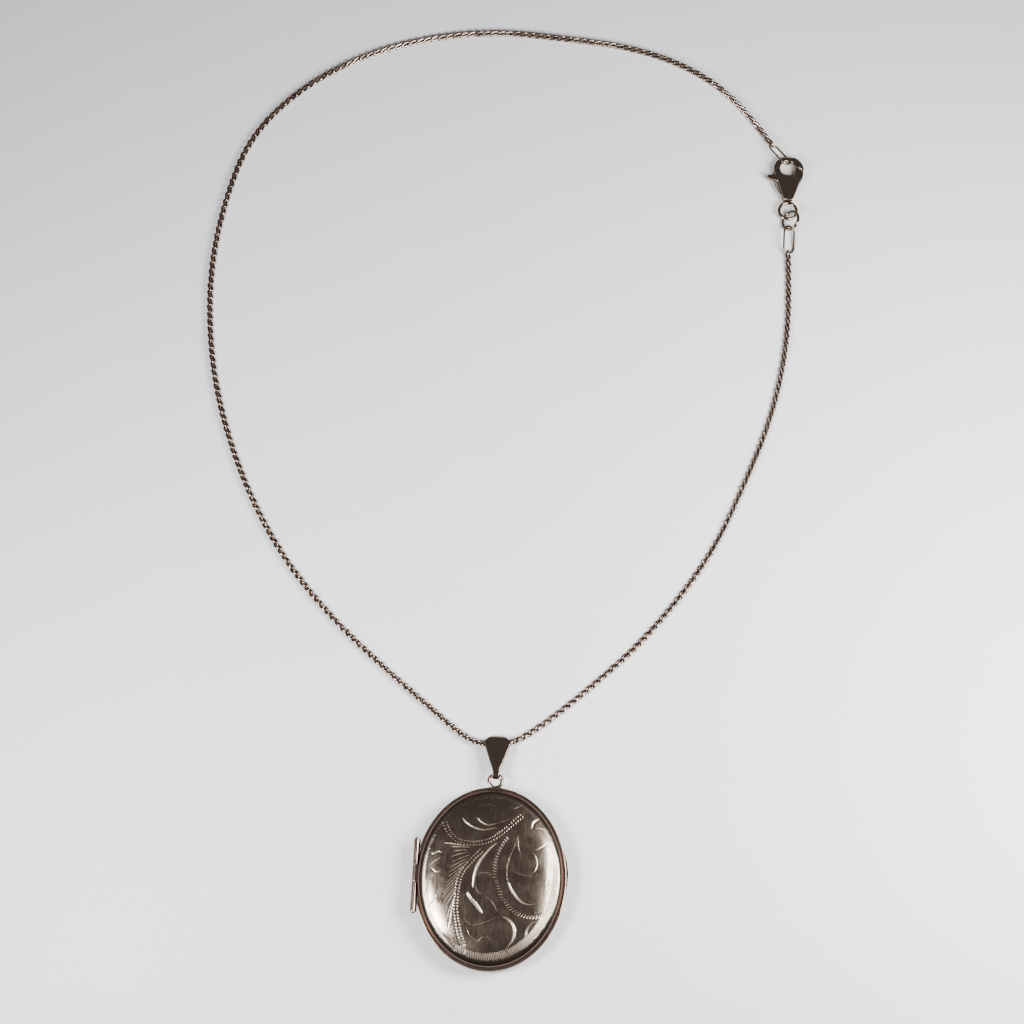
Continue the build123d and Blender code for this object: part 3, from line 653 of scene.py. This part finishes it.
def cut_at(x, y):
    """Depth of the engraving at a place on the cover."""
    u = np.clip((x + 15) / CELL - 0.5, 0, DEPTH_X - 2)
    v = np.clip((y + 18.2) / CELL - 0.5, 0, DEPTH_Y - 2)
    i, j = u.astype(int), v.astype(int)
    fu, fv = u - i, v - j
    return ((depth[j, i] * (1 - fu) + depth[j, i + 1] * fu) * (1 - fv)
            + (depth[j + 1, i] * (1 - fu) + depth[j + 1, i + 1] * fu) * fv)


def dome_height(share, rise, flat):
    step = np.clip((share - flat) / (1 - flat), 0, 1)
    return rise * (1 - step**CUSHION_POWER) ** (1 / CUSHION_POWER)


def dome(name, grid, top_share, base_z, rise, flat, cut=None):
    """A pressed cover: an even grid on top, rings down its steep edge, and its inner side."""
    inner_x, inner_y, inner_rise = DOME_X - SHEET, DOME_Y - SHEET, rise - SHEET * np.sign(rise)
    u = np.linspace(-1, 1, grid + 1)
    gu, gv = np.meshgrid(u, u)
    px, py = gu * np.sqrt(1 - gv**2 / 2) * top_share, gv * np.sqrt(1 - gu**2 / 2) * top_share
    share = np.hypot(px, py)
    x, y = px * DOME_X, py * DOME_Y
    z = base_z + dome_height(share, rise, flat)
    marks = np.zeros_like(x)
    if cut is not None:
        marks = cut(x, y)
        z = z - marks
    points = [np.stack([x, y, z], -1).reshape(-1, 3)]
    marks = [marks.reshape(-1)]
    index = np.arange((grid + 1) ** 2).reshape(grid + 1, grid + 1)
    quads = [np.stack([index[:-1, :-1], index[:-1, 1:], index[1:, 1:], index[1:, :-1]], -1).reshape(-1, 4)]
    loop = np.concatenate([index[0, :-1], index[:-1, -1], index[-1, :0:-1], index[:0:-1, 0]])
    edge = points[0][loop]
    turn_x, turn_y = edge[:, 0] / DOME_X / top_share, edge[:, 1] / DOME_Y / top_share
    first_step = (top_share - flat) / (1 - flat)
    start = np.arcsin(first_step ** (CUSHION_POWER / 2))
    levels = [(DOME_X, DOME_Y, rise, a) for a in np.linspace(start, pi / 2, 9)[1:]]
    levels += [(inner_x, inner_y, inner_rise, a) for a in np.linspace(pi / 2, 0.12, 7)]
    total, previous = len(points[0]), loop
    for half_x, half_y, high, a in levels:
        step = np.sin(a) ** (2 / CUSHION_POWER)
        wide = flat + (1 - flat) * step
        up = high * (1 - step**CUSHION_POWER) ** (1 / CUSHION_POWER) if a < pi / 2 - 1e-6 else 0
        ring = np.stack([turn_x * half_x * wide, turn_y * half_y * wide, np.full(len(loop), base_z + up)], -1)
        points.append(ring)
        marks.append(np.zeros(len(loop)))
        now = np.arange(total, total + len(loop))
        total += len(loop)
        quads.append(np.stack([previous, np.roll(previous, -1), np.roll(now, -1), now], -1)[:, ::-1])
        previous = now
    points.append(np.array([[0, 0, base_z + inner_rise]]))
    marks.append(np.zeros(1))
    faces = [tuple(q) for q in np.vstack(quads).tolist()]
    faces += [(int(a), int(b), total) for a, b in zip(np.roll(previous, -1), previous)]
    obj = mesh_piece(name, np.vstack(points).tolist(), faces)
    if cut is not None:
        layer = obj.data.attributes.new("cut", "FLOAT", "POINT")
        marked = np.clip(np.concatenate(marks) / FULL_MARK_DEPTH, 0, 1)
        layer.data.foreach_set("value", marked.astype(np.float32))
        # painted shade: the edge mark rises across the steep outer edge, so that the material darkens the
        # colour there
        toward_edge = np.hypot(*(np.vstack(points)[:, :2] / (DOME_X, DOME_Y)).T)
        layer = obj.data.attributes.new("edge", "FLOAT", "POINT")
        layer.data.foreach_set("value", (0.85 * np.clip((toward_edge - 0.93) / 0.04, 0, 1)).astype(np.float32))
    mend = bmesh.new()
    mend.from_mesh(obj.data)
    bmesh.ops.recalc_face_normals(mend, faces=mend.faces)
    mend.to_mesh(obj.data)
    mend.free()
    return obj


TOP_GRID = 264
engraved = dome("engraved_cover", TOP_GRID, 0.93, DOME_Z, DOME_RISE, CROWN_FLAT, cut_at)
finished(engraved, "cover", "engraved_gold", "front_cover")
plain_back = dome("plain_back", 60, 0.93, 2.6, -DOME_RISE, BACK_FLAT)
finished(plain_back, "case", "polished_gold", "back_cover")


# ------------------------------------------------------------------ rims
def rounded(corners, radius=0.12, steps=3):
    """A closed outline with its corners rounded."""
    points = []
    for before, corner, after in zip(corners[-1:] + corners[:-1], corners, corners[1:] + corners[:1]):
        c = Vector(corner)
        a, b = Vector(before) - c, Vector(after) - c
        r = min(radius, a.length * 0.45, b.length * 0.45)
        start, end = c + a.normalized() * r, c + b.normalized() * r
        points.append(c + a.normalized() * r * 1.1)
        for i in range(steps + 1):
            t = i / steps
            points.append(start * (1 - t) ** 2 + c * 2 * t * (1 - t) + end * t**2)
        points.append(c + b.normalized() * r * 1.1)
    return points


def oval_band(name, corners, landing):
    """A ring that follows the case's oval, with a section of (distance inside the rim, height)."""
    section = rounded(corners)
    around = 240
    points, faces = [], []
    for i in range(around):
        a = 2 * pi * i / around
        for inset, high in section:
            x, y = (HALF_X - inset) * cos(a), (HALF_Y - inset) * sin(a)
            if landing and abs(y) < LANDING_HALF and x < LANDING_X:
                x = LANDING_X + (HALF_X + x) * 0.1
            points.append((x, y, high))
    size = len(section)
    for i in range(around):
        for j in range(size):
            i2, j2 = (i + 1) % around, (j + 1) % size
            faces.append((i * size + j, i2 * size + j, i2 * size + j2, i * size + j2))
    obj = mesh_piece(name, points, faces)
    mend = bmesh.new()
    mend.from_mesh(obj.data)
    bmesh.ops.recalc_face_normals(mend, faces=mend.faces)
    mend.to_mesh(obj.data)
    mend.free()
    return obj


front_rim = oval_band("front_rim", [(0, 3.25), (0, 3.8), (1.5, 3.8), (1.5, 4.6), (2.65, 4.6), (2.65, 4.35),
                                    (1.8, 4.35), (1.8, 3.25)], True)
finished(front_rim, "cover", "rim_gold", "cover_rim")
rear_rim = oval_band("rear_rim", [(0, 2.6), (0, 3.15), (1.8, 3.15), (1.8, 2.6)], True)
finished(rear_rim, "case", "rim_gold", "case_rim")

# ------------------------------------------------------------------ small fittings
finished(soften("hanging_ring", "hanging_loop", 0.05, 4), "case", "rim_gold", "hanging_loop")
finished(soften("folded_bail", "bail", 0.06, 3), "bail", "polished_gold", "bail")
finished(soften("opening_lip", "thumb_lip", 0.05, 2), "cover", "rim_gold", "thumb_lip")
for node, body in (("case_knuckle_top", "case"), ("case_knuckle_bottom", "case"), ("cover_knuckle", "cover")):
    finished(soften(node + "_worn", node, 0.05, 2), body, "rim_gold", node)

# ------------------------------------------------------------------ stage
floor_data = bpy.data.meshes.new("floor")
floor_data.from_pydata([(-0.7, -0.6, 0), (0.7, -0.6, 0), (0.7, 0.8, 0), (-0.7, 0.8, 0)], [], [(0, 1, 2, 3)])
floor = add_object("floor", floor_data)
floor.location.z = -0.02 * MM
paint(floor, FLOOR)


def softbox(name, at, aim, size, power, color=(1, 1, 1)):
    """A rectangular light, in metres."""
    data = bpy.data.lights.new(name, "AREA")
    data.shape = "RECTANGLE"
    data.size, data.size_y = size
    data.energy = power
    data.color = color
    obj = add_object(name, data)
    obj.location = at
    obj.rotation_euler = (Vector(aim) - Vector(at)).to_track_quat("-Z", "Y").to_euler()
    return obj


softbox("right_box", (0.16, 0.04, 0.16), (0.01, 0.07, 0), (0.1, 0.14), 1.35, (1.0, 0.99, 0.98))
softbox("left_box", (-0.115, -0.03, 0.17), (-0.01, 0.08, 0), (0.06, 0.08), 0.75, (0.99, 0.99, 1.0))

world = bpy.data.worlds.new("room")
bpy.context.scene.world = world
world.use_nodes = True
sky = world.node_tree
background = sky.nodes["Background"]
where = sky.nodes.new("ShaderNodeTexCoord")
split = sky.nodes.new("ShaderNodeSeparateXYZ")
link_nodes(sky, where, "Generated", split, "Vector")
fade = sky.nodes.new("ShaderNodeValToRGB")
fade.color_ramp.elements[0].position = 0.35
fade.color_ramp.elements[0].color = (0.16, 0.15, 0.15, 1)
fade.color_ramp.elements[1].position = 0.9
fade.color_ramp.elements[1].color = (0.15, 0.13, 0.125, 1)
link_nodes(sky, split, "Z", fade, "Fac")
link_nodes(sky, fade, "Color", background, "Color")
background.inputs["Strength"].default_value = 0.9

# ------------------------------------------------------------------ route points
path = route_line()
